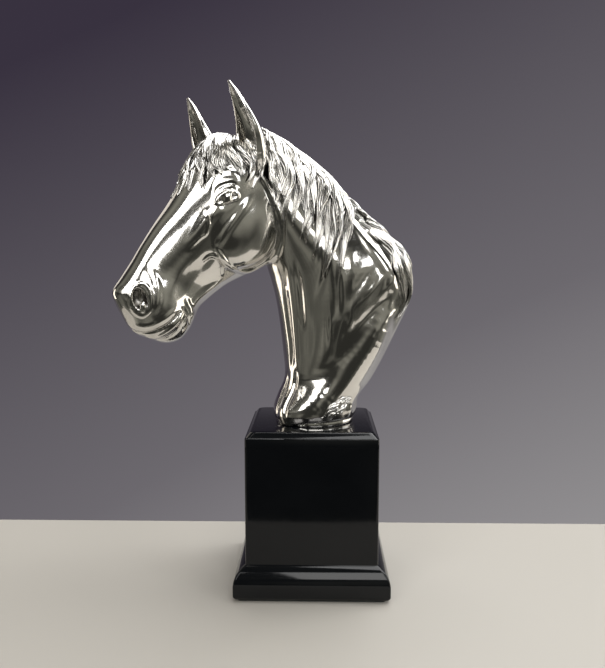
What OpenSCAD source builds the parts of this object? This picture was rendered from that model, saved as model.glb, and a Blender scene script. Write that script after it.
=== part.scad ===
// Silver-plated bronze horse head on a black lacquered plinth.
// Millimetres. Origin: the middle of the felt's underside. +Z up, the horse looks toward -X,
// and its head turns toward -Y, which is its own left.

/* [Plinth] */
// Width of the square plinth body
plinth_w = 90; // [86:1:100]
// Height of the plinth, felt included
plinth_h = 114; // [100:1:125]
// Thickness of the four side boards
board_t = 9; // [7:0.5:10]
// Thickness of the cap board
cap_t = 10; // [9:0.5:12]
// Size of the bevel around the top of the cap
cap_bevel = 3.6; // [2:0.2:4.4]
// Radius of the plinth's upright corners
corner_r = 2; // [1:0.25:3]

/* [Foot] */
// How far the foot moulding stands out from the body
foot_out = 8; // [6:0.5:10]
// Height of the foot moulding
foot_h = 22; // [18:0.5:26]
// Height of the moulding's plain lower band
foot_band = 8.5; // [6:0.5:10]
// Radius of the moulding's lower edge
foot_edge_r = 3; // [1.5:0.5:4]
// Thickness of the felt pad
felt_t = 1.5; // [1:0.25:2.5]
// Thickness of the bottom board
bottom_t = 8; // [6:0.5:10]

/* [Bust] */
// Turn of the head toward the horse's left, in degrees
head_turn = 34; // [30:1:38]
// Wall of the head and neck castings
wall = 3; // [2.5:0.25:3.5]
// Thickness of a lock of hair
lock_t = 5; // [4:0.5:6]

/* [Fixings] */
// Diameter of the stud that holds the bust
stud_d = 8; // [6:1:8]
// Diameter of the two locating pins
pin_d = 4; // [3:0.5:5]
// Distance from the stud to each locating pin
pin_reach = 14; // [13:0.5:15]
// Diameter of the screws under the bottom board
screw_d = 3.5; // [3:0.5:4]

/* [Hidden] */
$fn = 64;

half_w = plinth_w / 2;
inner_half = half_w - board_t;
board_top = plinth_h - cap_t;
foot_top = felt_t + foot_h;
block_w = 14;
block_h = 25;
screw_at = inner_half - block_w / 2;
screw_l = 20;
screw_head_d = 2 * screw_d;
screw_head_h = screw_d / 2;
ballast_d = 54;
ballast_h = 12;

bust_x = 2;
plate_d = 42;
plate_t = 6;
boss_d = 20;
boss_h = 10;
washer_d = 20;
washer_t = 1.6;
nut_w = 13;
nut_h = 6.8;
stud_end = 5;
pin_l = 10;
pin_in_cap = 6;

// Fractions of the way from the front of a section to its back where its half widths are given
CHORD = [0.08, 0.28, 0.5, 0.72, 0.92];

// Neck, from the foot up: [front x, front z, back x, back z, half widths]
NECK = [
    [-26, 114, 29, 114, [19, 26, 27, 24, 15]],
    [-28, 123, 32, 124, [19, 27, 27, 24, 14]],
    [-25, 133, 33, 132, [14, 23, 25, 21, 12]],
    [-20, 146, 42, 144, [12, 20, 22, 19, 10]],
    [-21, 164, 52, 163, [12, 21, 24, 19, 10]],
    [-23, 182, 62, 184, [12, 22, 26, 20, 9]],
    [-26, 200, 70, 204, [12, 22, 26, 20, 9]],
    [-29, 213, 69, 224, [12, 22, 26, 20, 9]],
    [-32, 223, 58, 240, [12, 22, 25, 18, 8]],
    [-35, 236, 39, 252, [12, 22, 24, 17, 8]],
    [-39, 250, 21, 269, [12, 22, 23, 15, 7]],
    [-45, 267, 0, 289, [12, 20, 21, 15, 7]],
    [-55, 284, -29, 310, [10, 16, 17, 13, 7]],
    [-66, 294, -44, 317, [5, 9, 10, 8, 4]]
];

// Head, from the poll to the lips, in its own upright plane: [brow reach, brow z, jaw reach, jaw z,
// half widths], where reach is measured from the throat toward the nose
HEAD = [
    [14, 309, -14, 291, [9, 12, 12, 11, 6]],
    [34, 309, -17, 262, [12, 20, 21, 18, 11]],
    [46, 301, -14, 240, [14, 24, 23, 21, 13]],
    [55, 289, -4, 228, [14, 26, 24, 22, 13]],
    [63, 276, 8, 221, [13, 25, 24, 22, 12]],
    [71, 264, 20, 216, [12, 21, 22, 20, 10]],
    [80, 252, 29, 212, [10, 17, 19, 16, 8]],
    [89, 239, 37, 207, [9, 15, 16, 13, 8]],
    [96, 228, 44, 202, [9, 14, 15, 12, 8]],
    [103, 218, 50, 197, [9, 15, 16, 13, 8]],
    [109, 209, 54, 190, [8, 15, 17, 15, 10]],
    [107, 201, 58, 183, [8, 14, 16, 15, 10]],
    [103, 193, 64, 178, [7, 12, 14, 13, 9]],
    [99, 186, 75, 175, [5, 9, 10, 9, 7]],
    [94, 181, 84, 177, [2, 3, 4, 3, 2]]
];
throat_x = -35.4;
ahead = [-cos(head_turn), -sin(head_turn), 0];
leftward = [sin(head_turn), -cos(head_turn), 0];
outer_turns = 3;
hollow_turns = 2;

// Opening at the back of the skull, from the head's hollow into the neck's: [reach, z]
passage_at = [-14, 266];
passage_d = 20;

// Ear, from root to tip: [half width, half depth, how far its cup is open]
EAR = [[5, 5, 0], [7.2, 5.6, 0.35], [8.4, 5.4, 0.75], [7.4, 4.4, 0.78], [4.6, 2.8, 0.75], [0.9, 0.9, 0.5]];
EAR_PLACES = [[[17, 292, 20], [39, 343, 24]], [[17, 292, -20], [39, 343, -24]]];
ear_cup_shift = 0.62;
ear_outward = 0.35;
ear_turn_step = 30;

// Eye and nostril, [reach, z, side], with the balls that form them
eye_at = [41, 270, 20];
eye_d = 13;
nostril_at = [97, 204, 20];
nostril_d = 11;

// Locks: [width, points from root to tip]. Head locks are [reach, z, side], mane locks [x, y, z].
FORELOCK = [
    [13, [[22, 312, 14], [36, 306, 21], [42, 294, 26], [42, 282, 28], [40, 271, 27]]],
    [14, [[24, 315, 8], [42, 307, 13], [52, 295, 17], [58, 283, 19], [61, 272, 18]]],
    [14, [[26, 316, 2], [46, 306, 4], [57, 293, 6], [65, 280, 8], [70, 268, 8]]],
    [14, [[26, 316, -4], [46, 306, -5], [57, 293, -5], [65, 280, -6], [72, 266, -7]]],
    [13, [[24, 315, -9], [42, 306, -14], [52, 294, -17], [60, 281, -18], [64, 270, -16]]]
];
NEAR_MANE = [
    [14, [[-32, -2, 313], [-27, -16, 302], [-24, -22, 290], [-26, -24, 276]]],
    [14, [[-23, -2, 308], [-18, -17, 295], [-18, -24, 280], [-22, -26, 264]]],
    [14, [[-12, -2, 301], [-9, -18, 287], [-11, -25, 272], [-16, -27, 257]]],
    [14, [[-2, -2, 293], [0, -19, 276], [-3, -26, 258], [-9, -28, 240]]],
    [14, [[9, -2, 282], [9, -19, 265], [7, -26, 250], [3, -28, 236]]],
    [15, [[18, -2, 273], [17, -18, 259], [13, -26, 239], [7, -29, 212]]],
    [13, [[24, -1, 266], [22, -16, 256], [18, -24, 245], [13, -28, 229]]]
];
FAR_MANE = [
    [14, [[-32, 2, 313], [-27, 16, 302], [-24, 22, 290], [-26, 24, 274]]],
    [14, [[-23, 2, 308], [-18, 17, 295], [-18, 24, 280], [-20, 26, 262]]],
    [14, [[-12, 2, 301], [-9, 18, 287], [-10, 25, 272], [-13, 27, 254]]],
    [14, [[-2, 2, 293], [1, 19, 276], [0, 26, 258], [-4, 28, 240]]],
    [14, [[9, 2, 282], [10, 19, 265], [11, 26, 248], [9, 28, 228]]],
    [15, [[19, 2, 273], [22, 17, 258], [26, 25, 240], [28, 28, 218]]],
    [15, [[30, 2, 263], [36, 15, 251], [42, 22, 236], [46, 24, 216]]],
    [14, [[42, 2, 253], [50, 12, 242], [57, 17, 229], [61, 18, 212]]]
];
LOCK_TAPER = [0.75, 1, 0.95, 0.7, 0.15];
lock_turn_step = 45;
mane_lean = 0.4;
bust_reach = 150;

// ---------- shared geometry ----------

// Catmull-Rom point between b and c
function spline(a, b, c, d, t) =
    0.5 * (2 * b + (c - a) * t + (2 * a - 5 * b + 4 * c - d) * t * t + (3 * b - a - 3 * c + d) * t * t * t);

// A smooth closed ring through the points p, with k steps from each to the next
function closed_curve(p, k) =
    let (n = len(p))
    [for (i = [0:n - 1], j = [0:k - 1]) spline(p[(i + n - 1) % n], p[i], p[(i + 1) % n], p[(i + 2) % n], j / k)];

// The same along an open list, ends included. It works on points and on whole rings of points.
function open_curve(p, k) =
    let (n = len(p))
    concat(
        [for (i = [0:n - 2], j = [0:k - 1])
            spline(p[max(i - 1, 0)], p[i], p[i + 1], p[min(i + 2, n - 1)], j / k)],
        [p[n - 1]]
    );

// A section between a front point and a back point, with half widths to each side along it
function section(front, back, side, widths, k) =
    let (
        chord = back - front,
        last = len(CHORD) - 1,
        near = [for (i = [0:last]) front + chord * CHORD[i] + side * widths[i]],
        far = [for (i = [last:-1:0]) front + chord * CHORD[i] - side * widths[i]]
    )
    closed_curve(concat([front], near, [back], far), k);

// A station drawn in by t all round
function drawn_in(s, t) =
    let (
        front = [s[0], s[1]],
        back = [s[2], s[3]],
        along = (back - front) / norm(back - front) * t,
        f = front + along,
        b = back - along
    )
    [f[0], f[1], b[0], b[1], [for (w = s[4]) max(w - t, 1)]];

function in_head(reach, z, side) = [throat_x, 0, z] + ahead * reach + leftward * side;

function neck_rings(stations, k) =
    [for (s = stations) section([s[0], 0, s[1]], [s[2], 0, s[3]], [0, -1, 0], s[4], k)];

function head_rings(stations, k) =
    [for (s = stations) section(in_head(s[0], s[1], 0), in_head(s[2], s[3], 0), leftward, s[4], k)];

function middle(ring) = [for (p = ring) 1] * ring / len(ring);

// Twice the ring's area as a vector, pointing the way from which it runs anticlockwise
function spin(ring) =
    let (
        c = middle(ring),
        n = len(ring),
        parts = [for (i = [0:n - 1]) cross(ring[i] - c, ring[(i + 1) % n] - c)]
    )
    [for (p = parts) 1] * parts;

// A closed skin over rings that all have the same number of points, whichever way they run
module skin(rings) {
    n = len(rings[0]);
    last = len(rings) - 1;
    rises = (middle(rings[last]) - middle(rings[0])) * spin(rings[0]) > 0;
    ordered = rises ? rings : [for (r = [last:-1:0]) rings[r]];
    polyhedron(
        points = [for (r = ordered, p = r) p],
        faces = concat(
            [[for (i = [0:n - 1]) i]],
            [for (r = [0:last - 1], i = [0:n - 1])
                [r * n + i, (r + 1) * n + i, (r + 1) * n + (i + 1) % n]],
            [for (r = [0:last - 1], i = [0:n - 1])
                [r * n + i, (r + 1) * n + (i + 1) % n, r * n + (i + 1) % n]],
            [[for (i = [n - 1:-1:0]) last * n + i]]
        )
    );
}

// Joins what is inside into one mesh, at its own size
module one_mesh() {
    resize([0, 0, 0]) union() children();
}

// A flat-oval strand along a route, its flat face turned toward face_dir
module lock(width, thickness, route, face_dir) {
    path = open_curve(route, 2);
    last = len(path) - 1;
    skin([for (i = [0:last])
        let (
            ahead_of = path[min(i + 1, last)] - path[max(i - 1, 0)],
            across = cross(ahead_of, face_dir) / norm(cross(ahead_of, face_dir)),
            out = cross(across, ahead_of) / norm(cross(across, ahead_of)),
            place = i / last * (len(LOCK_TAPER) - 1),
            low = min(floor(place), len(LOCK_TAPER) - 2),
            share = LOCK_TAPER[low] + (LOCK_TAPER[low + 1] - LOCK_TAPER[low]) * (place - low)
        )
        [for (turn = [0:lock_turn_step:359])
            path[i] + across * cos(turn) * width / 2 * share + out * sin(turn) * thickness / 2 * share]
    ]);
}

module rounded_square(width, r) {
    reach = width / 2 - r;
    square([width, width - 2 * r], center = true);
    square([width - 2 * r, width], center = true);
    for (x = [-reach, reach], y = [-reach, reach]) translate([x, y]) circle(r);
}

// The four screws and blocks stand at the corners, counted anticlockwise from front right
function corner(i, reach) = [reach * (i == 1 || i == 2 ? 1 : -1), reach * (i == 1 || i == 4 ? -1 : 1)];

// ---------- plinth ----------

module felt_pad() {
    color("darkslategray")
        linear_extrude(felt_t) rounded_square(plinth_w + 2 * foot_out - 2 * foot_edge_r, corner_r);
}

module bottom_board() {
    color("tan")
        difference() {
            translate([-inner_half, -inner_half, felt_t]) cube([2 * inner_half, 2 * inner_half, bottom_t]);
            for (i = [1:4]) translate([each corner(i, screw_at), felt_t]) {
                translate([0, 0, -1]) cylinder(d = screw_d, h = bottom_t + 2);
                cylinder(d1 = screw_head_d, d2 = screw_d, h = screw_head_h);
            }
        }
}

module ballast_disc() {
    color("dimgray") translate([0, 0, felt_t + bottom_t]) cylinder(d = ballast_d, h = ballast_h);
}

module corner_block(i) {
    color("burlywood")
        difference() {
            translate([each corner(i, screw_at), felt_t + bottom_t])
                translate([-block_w / 2, -block_w / 2, 0]) cube([block_w, block_w, block_h]);
            translate([each corner(i, screw_at), felt_t]) cylinder(d = screw_d, h = screw_l);
        }
}

module base_screw(i) {
    color("goldenrod")
        translate([each corner(i, screw_at), felt_t]) {
            cylinder(d1 = screw_head_d, d2 = screw_d, h = screw_head_h);
            cylinder(d = screw_d, h = screw_l);
        }
}

// A length of side board with mitred ends, for the side that faces -Y before it is turned
module side_board(turn) {
    color("black")
        rotate(turn)
            translate([0, 0, felt_t])
                linear_extrude(board_top - felt_t)
                    intersection() {
                        polygon([
                            [-half_w, -half_w], [half_w, -half_w],
                            [inner_half, -inner_half], [-inner_half, -inner_half]
                        ]);
                        rounded_square(plinth_w, corner_r);
                    }
}

// Moulding profile, x outward from the body's face: plain band, then a long convex curve
module moulding_profile() {
    curve_h = foot_h - foot_band;
    curve_r = (foot_out * foot_out + curve_h * curve_h) / (2 * foot_out);
    translate([0, foot_edge_r]) square([foot_out, foot_band - foot_edge_r]);
    square([foot_out - foot_edge_r, foot_band]);
    translate([foot_out - foot_edge_r, foot_edge_r]) circle(foot_edge_r);
    intersection() {
        translate([foot_out - curve_r, foot_band]) circle(curve_r);
        translate([0, foot_band]) square([foot_out, curve_h]);
    }
}

module foot_moulding(turn) {
    full = half_w + foot_out;
    color("black")
        rotate(turn)
            intersection() {
                translate([-full, -half_w, felt_t])
                    rotate([90, 0, 90]) mirror([1, 0, 0]) linear_extrude(2 * full) moulding_profile();
                linear_extrude(foot_top)
                    polygon([[-full, -full], [full, -full], [half_w, -half_w], [-half_w, -half_w]]);
            }
}

module cap_profile() {
    polygon([
        [-half_w, 0], [half_w, 0], [half_w, cap_t - cap_bevel],
        [half_w - cap_bevel, cap_t], [cap_bevel - half_w, cap_t], [-half_w, cap_t - cap_bevel]
    ]);
}

module plinth_cap() {
    color("black")
        difference() {
            translate([0, 0, board_top])
                intersection() {
                    linear_extrude(cap_t) rounded_square(plinth_w, corner_r);
                    translate([0, half_w, 0]) rotate([90, 0, 0]) linear_extrude(plinth_w) cap_profile();
                    translate([-half_w, 0, 0]) rotate([90, 0, 90]) linear_extrude(plinth_w) cap_profile();
                }
            translate([bust_x, 0, board_top - 1]) cylinder(d = stud_d, h = cap_t + 2);
            for (side = [-1, 1])
                translate([bust_x + side * pin_reach, 0, plinth_h - pin_in_cap])
                    cylinder(d = pin_d, h = pin_in_cap + 1);
        }
}

// ---------- fixings inside the foot of the neck ----------

module mounting_plate() {
    color("goldenrod")
        difference() {
            translate([bust_x, 0, plinth_h]) {
                cylinder(d = plate_d, h = plate_t);
                cylinder(d = boss_d, h = plate_t + boss_h);
            }
            translate([bust_x, 0, plinth_h - 1]) cylinder(d = stud_d, h = plate_t + boss_h - stud_end + 1);
            for (side = [-1, 1])
                translate([bust_x + side * pin_reach, 0, plinth_h - 1])
                    cylinder(d = pin_d, h = pin_l - pin_in_cap + 1);
        }
}

module mounting_stud() {
    foot = board_top - washer_t - nut_h - stud_end;
    head = plinth_h + plate_t + boss_h - stud_end;
    color("silver") translate([bust_x, 0, foot]) cylinder(d = stud_d, h = head - foot);
}

module stud_washer() {
    color("silver")
        translate([bust_x, 0, board_top - washer_t])
            difference() {
                cylinder(d = washer_d, h = washer_t);
                translate([0, 0, -1]) cylinder(d = stud_d, h = washer_t + 2);
            }
}

module stud_nut() {
    color("silver")
        translate([bust_x, 0, board_top - washer_t - nut_h])
            difference() {
                cylinder(d = nut_w / cos(30), h = nut_h, $fn = 6);
                translate([0, 0, -1]) cylinder(d = stud_d, h = nut_h + 2);
            }
}

module locating_pin(side) {
    color("silver")
        translate([bust_x + side * pin_reach, 0, plinth_h - pin_in_cap]) cylinder(d = pin_d, h = pin_l);
}

// ---------- bust ----------

module neck_form(k = outer_turns) {
    skin(open_curve(neck_rings(NECK, k), 2));
}

module head_form(k = outer_turns) {
    skin(open_curve(head_rings(HEAD, k), 2));
}

module neck_casting() {
    hollow = [for (i = [1:len(NECK) - 2]) drawn_in(NECK[i], wall)];
    color("lightgray")
        one_mesh()
            difference() {
                neck_form();
                skin(open_curve(neck_rings(hollow, hollow_turns), 1));
                translate([bust_x, 0, plinth_h - 1]) cylinder(d = plate_d, h = plate_t + boss_h);
                head_form();
            }
}

module head_casting() {
    hollow = [for (i = [1:len(HEAD) - 4]) drawn_in(HEAD[i], wall)];
    color("lightgray")
        one_mesh()
            difference() {
                union() {
                    head_form();
                    for (side = [-1, 1])
                        translate(in_head(eye_at[0], eye_at[1], side * eye_at[2])) sphere(d = eye_d, $fn = 32);
                }
                skin(open_curve(head_rings(hollow, hollow_turns), 1));
                translate(in_head(passage_at[0], passage_at[1], 0)) sphere(d = passage_d, $fn = 32);
                for (side = [-1, 1])
                    translate(in_head(nostril_at[0], nostril_at[1], side * nostril_at[2]))
                        sphere(d = nostril_d, $fn = 32);
            }
}

// One ear from its root to its tip, [reach, z, side]. The cup opens forward and outward.
module ear(place) {
    root = in_head(place[0][0], place[0][1], place[0][2]);
    tip = in_head(place[1][0], place[1][1], place[1][2]);
    axis = (tip - root) / norm(tip - root);
    facing = ahead + leftward * sign(place[0][2]) * ear_outward;
    across = cross(axis, facing) / norm(cross(axis, facing));
    open_way = cross(across, axis);
    last = len(EAR) - 1;
    function ear_ring(i, grow, shift) =
        let (centre = root + (tip - root) * i / last + open_way * shift * EAR[i][1])
        [for (turn = [0:ear_turn_step:359])
            centre + across * cos(turn) * EAR[i][0] * grow + open_way * sin(turn) * EAR[i][1] * grow];
    color("lightgray")
        one_mesh()
            difference() {
                skin(open_curve([for (i = [0:last]) ear_ring(i, 1, 0)], 2));
                skin(open_curve([for (i = [1:last]) ear_ring(i, EAR[i][2], ear_cup_shift)], 2));
                head_form();
            }
}

module forelock() {
    color("silver")
        one_mesh()
            difference() {
                for (k = FORELOCK)
                    lock(k[0], lock_t, [for (p = k[1]) in_head(p[0], p[1], p[2])], ahead + [0, 0, 1]);
                head_form();
                neck_form();
            }
}

// side is 1 for the horse's left and -1 for its right. The two manes meet in the plane y = 0.
module mane(locks, side) {
    color("silver")
        one_mesh()
            difference() {
                for (k = locks) lock(k[0], lock_t, k[1], [0, -side, mane_lean]);
                neck_form();
                head_form();
                translate([-bust_reach, side > 0 ? 0 : -bust_reach, plinth_h])
                    cube([2 * bust_reach, bust_reach, 2 * bust_reach]);
            }
}

felt_pad();
bottom_board();
ballast_disc();
plinth_cap();
side_board(0);  // front_board
side_board(90);  // right_board
side_board(180);  // back_board
side_board(270);  // left_board
foot_moulding(0);  // front_moulding
foot_moulding(90);  // right_moulding
foot_moulding(180);  // back_moulding
foot_moulding(270);  // left_moulding
corner_block(1);  // corner_block_1
corner_block(2);  // corner_block_2
corner_block(3);  // corner_block_3
corner_block(4);  // corner_block_4
base_screw(1);  // base_screw_1
base_screw(2);  // base_screw_2
base_screw(3);  // base_screw_3
base_screw(4);  // base_screw_4
neck_casting();
head_casting();
ear(EAR_PLACES[0]);  // near_ear
ear(EAR_PLACES[1]);  // far_ear
forelock();
mane(NEAR_MANE, 1);  // near_mane
mane(FAR_MANE, -1);  // far_mane
mounting_plate();
mounting_stud();
stud_washer();
stud_nut();
locating_pin(-1);  // locating_pin_1
locating_pin(1);  // locating_pin_2
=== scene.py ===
import math

import bpy
import numpy as np
import openvdb as vdb
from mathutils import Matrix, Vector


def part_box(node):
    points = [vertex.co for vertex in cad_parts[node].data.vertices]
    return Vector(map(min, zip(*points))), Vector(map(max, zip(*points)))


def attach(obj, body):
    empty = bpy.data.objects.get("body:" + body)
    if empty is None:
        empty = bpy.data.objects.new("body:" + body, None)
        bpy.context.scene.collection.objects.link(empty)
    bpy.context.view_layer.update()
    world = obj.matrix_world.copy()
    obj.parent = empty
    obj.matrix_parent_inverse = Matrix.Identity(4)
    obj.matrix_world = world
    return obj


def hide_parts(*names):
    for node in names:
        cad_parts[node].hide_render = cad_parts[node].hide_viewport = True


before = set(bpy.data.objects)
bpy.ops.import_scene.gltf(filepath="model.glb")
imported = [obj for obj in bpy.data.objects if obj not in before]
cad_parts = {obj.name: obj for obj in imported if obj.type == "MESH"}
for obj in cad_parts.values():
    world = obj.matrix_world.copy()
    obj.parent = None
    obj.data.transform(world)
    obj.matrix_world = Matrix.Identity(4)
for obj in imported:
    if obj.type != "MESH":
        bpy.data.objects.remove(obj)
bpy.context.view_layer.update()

# ---------- Camera ----------
# It stands half a metre in front of the horse's left side, at the height of the jaw, and looks
# slightly down, so the top of the plinth shows as a narrow band under the neck.
camera_data = bpy.data.cameras.new("camera")
camera_data.lens = 40.42
camera_data.clip_start = 0.01
camera = bpy.data.objects.new("camera", camera_data)
camera.location = (0.004, -0.532, 0.234)
camera.rotation_euler = (math.radians(90 - 6.25), 0, math.radians(1.2))
bpy.context.collection.objects.link(camera)
bpy.context.scene.camera = camera

# ---------- Felt pad ----------
# A square of dark wool felt glued under the plinth so that it doesn't scratch the table. It is
# die cut a little smaller than the foot, with a soft, slightly ragged edge.
MM = 0.001


# Points are given in millimetres
def new_mesh(name, points, faces, smooth=True):
    mesh = bpy.data.meshes.new(name)
    mesh.from_pydata((np.asarray(points) * MM).tolist(), [], [list(f) for f in faces])
    mesh.validate()
    mesh.polygons.foreach_set("use_smooth", [smooth] * len(mesh.polygons))
    piece = bpy.data.objects.new(name, mesh)
    bpy.context.collection.objects.link(piece)
    return piece


def rounded_square(half, radius, steps):
    ring = []
    for quarter, (cx, cy) in enumerate([(1, 1), (-1, 1), (-1, -1), (1, -1)]):
        for step in range(steps + 1):
            angle = math.pi / 2 * (quarter + step / steps)
            ring.append((
                cx * (half - radius) + radius * math.cos(angle),
                cy * (half - radius) + radius * math.sin(angle),
            ))
    return ring


# A closed skin over rings stacked one above the other
def stacked_rings(rings):
    count = len(rings[0])
    points = [point for ring in rings for point in ring]
    faces = []
    for level in range(len(rings) - 1):
        for i in range(count):
            j = (i + 1) % count
            low = level * count
            faces.append((low + i, low + j, low + count + j, low + count + i))
    faces.append(tuple(range(count - 1, -1, -1)))
    faces.append(tuple(range((len(rings) - 1) * count, len(rings) * count)))
    return points, faces


# Three tools for the node network of a material: add a node, add a ramp between two colours, and
# join nodes with wires given as (node, its output, next node, its input)
def node_tools(material):
    nodes = material.node_tree.nodes
    links = material.node_tree.links

    def add(kind, **settings):
        node = nodes.new(kind)
        for key, value in settings.items():
            if key in node.inputs:
                node.inputs[key].default_value = value
            else:
                setattr(node, key, value)
        return node

    def ramp(low, high):
        node = add("ShaderNodeValToRGB")
        node.color_ramp.elements[0].color = (*low, 1)
        node.color_ramp.elements[1].color = (*high, 1)
        return node

    def join(*wires):
        for giver, output, taker, entry in wires:
            links.new(giver.outputs[output], taker.inputs[entry])

    return add, ramp, join


def plain_material(name):
    material = bpy.data.materials.new(name)
    material.use_nodes = True
    shader = material.node_tree.nodes["Principled BSDF"]
    return material, shader


def felt_material():
    material, shader = plain_material("felt")
    add, ramp, join = node_tools(material)
    place = add("ShaderNodeTexCoord")
    fibres = add("ShaderNodeTexNoise", Scale=2600.0, Detail=6.0, Roughness=0.7)
    tint = ramp((0.008, 0.010, 0.010), (0.045, 0.052, 0.050))
    bump = add("ShaderNodeBump", Strength=0.6, Distance=0.0003)
    join(
        (place, "Object", fibres, "Vector"),
        (fibres, "Fac", tint, "Fac"),
        (tint, "Color", shader, "Base Color"),
        (fibres, "Fac", bump, "Height"),
        (bump, "Normal", shader, "Normal"),
    )
    shader.inputs["Roughness"].default_value = 0.95
    shader.inputs["Sheen Weight"].default_value = 0.4
    return material


felt_half, _, felt_top = np.array(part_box("felt_pad")[1]) / MM
felt_corner = 2.0
fray = 0.05
chance = np.random.default_rng(5)
felt_rings = []
for z, inset in [(0.0, 0.35), (0.35, 0.05), (1.1, 0.0), (felt_top, 0.3)]:
    ring = rounded_square(felt_half - inset, felt_corner, 8)
    felt_rings.append([(px + chance.normal(0, fray), py + chance.normal(0, fray), z) for px, py in ring])
felt_points, felt_faces = stacked_rings(felt_rings)
felt_piece = new_mesh("felt", felt_points, felt_faces, smooth=False)
felt_piece.data.materials.append(felt_material())
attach(felt_piece, "root")
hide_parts("felt_pad")


# ---------- Inside of the plinth ----------
# A plain softwood board screwed up into four glue blocks closes the bottom, and a cast-iron disc
# glued on it keeps the tall bust from tipping. None of this is polished or painted.
def grain_material(name, dark, light):
    material, shader = plain_material(name)
    add, ramp, join = node_tools(material)
    place = add("ShaderNodeTexCoord")
    stretch = add("ShaderNodeMapping")
    stretch.inputs["Scale"].default_value = (12, 160, 160)
    grain = add("ShaderNodeTexNoise", Scale=3.0, Detail=8.0, Distortion=0.6)
    tint = ramp(dark, light)
    bump = add("ShaderNodeBump", Strength=0.25, Distance=0.0004)
    join(
        (place, "Object", stretch, "Vector"),
        (stretch, "Vector", grain, "Vector"),
        (grain, "Fac", tint, "Fac"),
        (tint, "Color", shader, "Base Color"),
        (grain, "Fac", bump, "Height"),
        (bump, "Normal", shader, "Normal"),
    )
    shader.inputs["Roughness"].default_value = 0.7
    return material


def bare_metal_material(name, colour, roughness, scratch_scale):
    material, shader = plain_material(name)
    add, ramp, join = node_tools(material)
    place = add("ShaderNodeTexCoord")
    wear = add("ShaderNodeTexNoise", Scale=scratch_scale, Detail=5.0)
    spread = add("ShaderNodeMapRange", **{"To Min": roughness * 0.7, "To Max": roughness * 1.4})
    tint = ramp([c * 0.8 for c in colour], colour)
    join(
        (place, "Object", wear, "Vector"),
        (wear, "Fac", spread, "Value"),
        (wear, "Fac", tint, "Fac"),
        (tint, "Color", shader, "Base Color"),
        (spread, "Result", shader, "Roughness"),
    )
    shader.inputs["Metallic"].default_value = 1.0
    return material


# Gives a fixing or board that is kept as it is drawn its own material
def dress_node(node, material):
    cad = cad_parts[node]
    cad.data.materials.clear()
    cad.data.materials.append(material)


softwood = grain_material("softwood", (0.36, 0.24, 0.13), (0.60, 0.45, 0.28))
dress_node("bottom_board", softwood)
for number in range(1, 5):
    dress_node(f"corner_block_{number}", softwood)
dress_node("ballast_disc", bare_metal_material("rough_iron", (0.16, 0.16, 0.17), 0.6, 300.0))

# ---------- Screws, stud, washer, nut and pins ----------
# Brass wood screws hold the bottom board. A steel stud comes down from the brass plate in the foot
# of the neck, through the cap, to a washer and nut, and two pins stop the bust from turning.
brass_metal = bare_metal_material("brass", (0.78, 0.58, 0.28), 0.3, 500.0)
steel_metal = bare_metal_material("steel", (0.62, 0.63, 0.64), 0.28, 700.0)
for number in range(1, 5):
    dress_node(f"base_screw_{number}", brass_metal)
dress_node("mounting_plate", brass_metal)
for fixing in ("mounting_stud", "stud_washer", "stud_nut", "locating_pin_1", "locating_pin_2"):
    dress_node(fixing, steel_metal)


# ---------- Side boards ----------
# Four mitred boards make the square body. They are sprayed black and cut back until the lacquer is
# deep and wet-looking, so the joints don't show and the corners are just eased.
def lacquer_material():
    material, shader = plain_material("black_lacquer")
    add, ramp, join = node_tools(material)
    place = add("ShaderNodeTexCoord")
    ripple = add("ShaderNodeTexNoise", Scale=55.0, Detail=2.0)
    dust = add("ShaderNodeTexNoise", Scale=900.0, Detail=4.0, Roughness=0.6)
    depth = ramp((0.0024, 0.0029, 0.0036), (0.0048, 0.0054, 0.0064))
    haze = add(
        "ShaderNodeMapRange", **{"From Min": 0.35, "From Max": 0.75, "To Min": 0.045, "To Max": 0.13}
    )
    bump = add("ShaderNodeBump", Strength=0.05, Distance=0.0006)
    join(
        (place, "Object", ripple, "Vector"),
        (place, "Object", dust, "Vector"),
        (ripple, "Fac", depth, "Fac"),
        (depth, "Color", shader, "Base Color"),
        (dust, "Fac", haze, "Value"),
        (haze, "Result", shader, "Roughness"),
        (ripple, "Fac", bump, "Height"),
        (bump, "Normal", shader, "Normal"),
    )
    shader.inputs["IOR"].default_value = 1.36
    return material


# One side of a square run, from mitre to mitre. The profile is a closed list of
# (distance out from the plinth's middle, height, corner radius).
def mitred_side(name, profile, quarter_turns):
    sections = []
    arc_steps = 5
    for out, z, radius in profile:
        run = []
        for side in (-1, 1):
            for step in range(arc_steps + 1):
                share = step / arc_steps if side < 0 else 1 - step / arc_steps
                angle = math.pi / 4 * (1 - share)
                x = side * (out - radius + radius * math.sin(angle))
                y = -(out - radius + radius * math.cos(angle))
                run.append((x, y, z))
        sections.append(run)
    along = len(sections[0])
    count = len(sections)
    turn = math.pi / 2 * quarter_turns
    cosine, sine = math.cos(turn), math.sin(turn)
    points = [(x * cosine - y * sine, x * sine + y * cosine, z) for run in sections for x, y, z in run]
    faces = []
    for i in range(count):
        for j in range(along - 1):
            k = (i + 1) % count
            faces.append((i * along + j, i * along + j + 1, k * along + j + 1, k * along + j))
    faces.append(tuple(i * along for i in range(count)))
    faces.append(tuple(i * along + along - 1 for i in range(count - 1, -1, -1)))
    return new_mesh(name, points, faces)


# Rounds the corners between flat stretches, and keeps flats flat under smooth shading.
def ease_edges(piece, width):
    bevel = piece.modifiers.new("eased", "BEVEL")
    bevel.width = width * MM
    bevel.segments = 2
    bevel.limit_method = "ANGLE"
    bevel.angle_limit = math.radians(35)
    bevel.harden_normals = True


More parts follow.
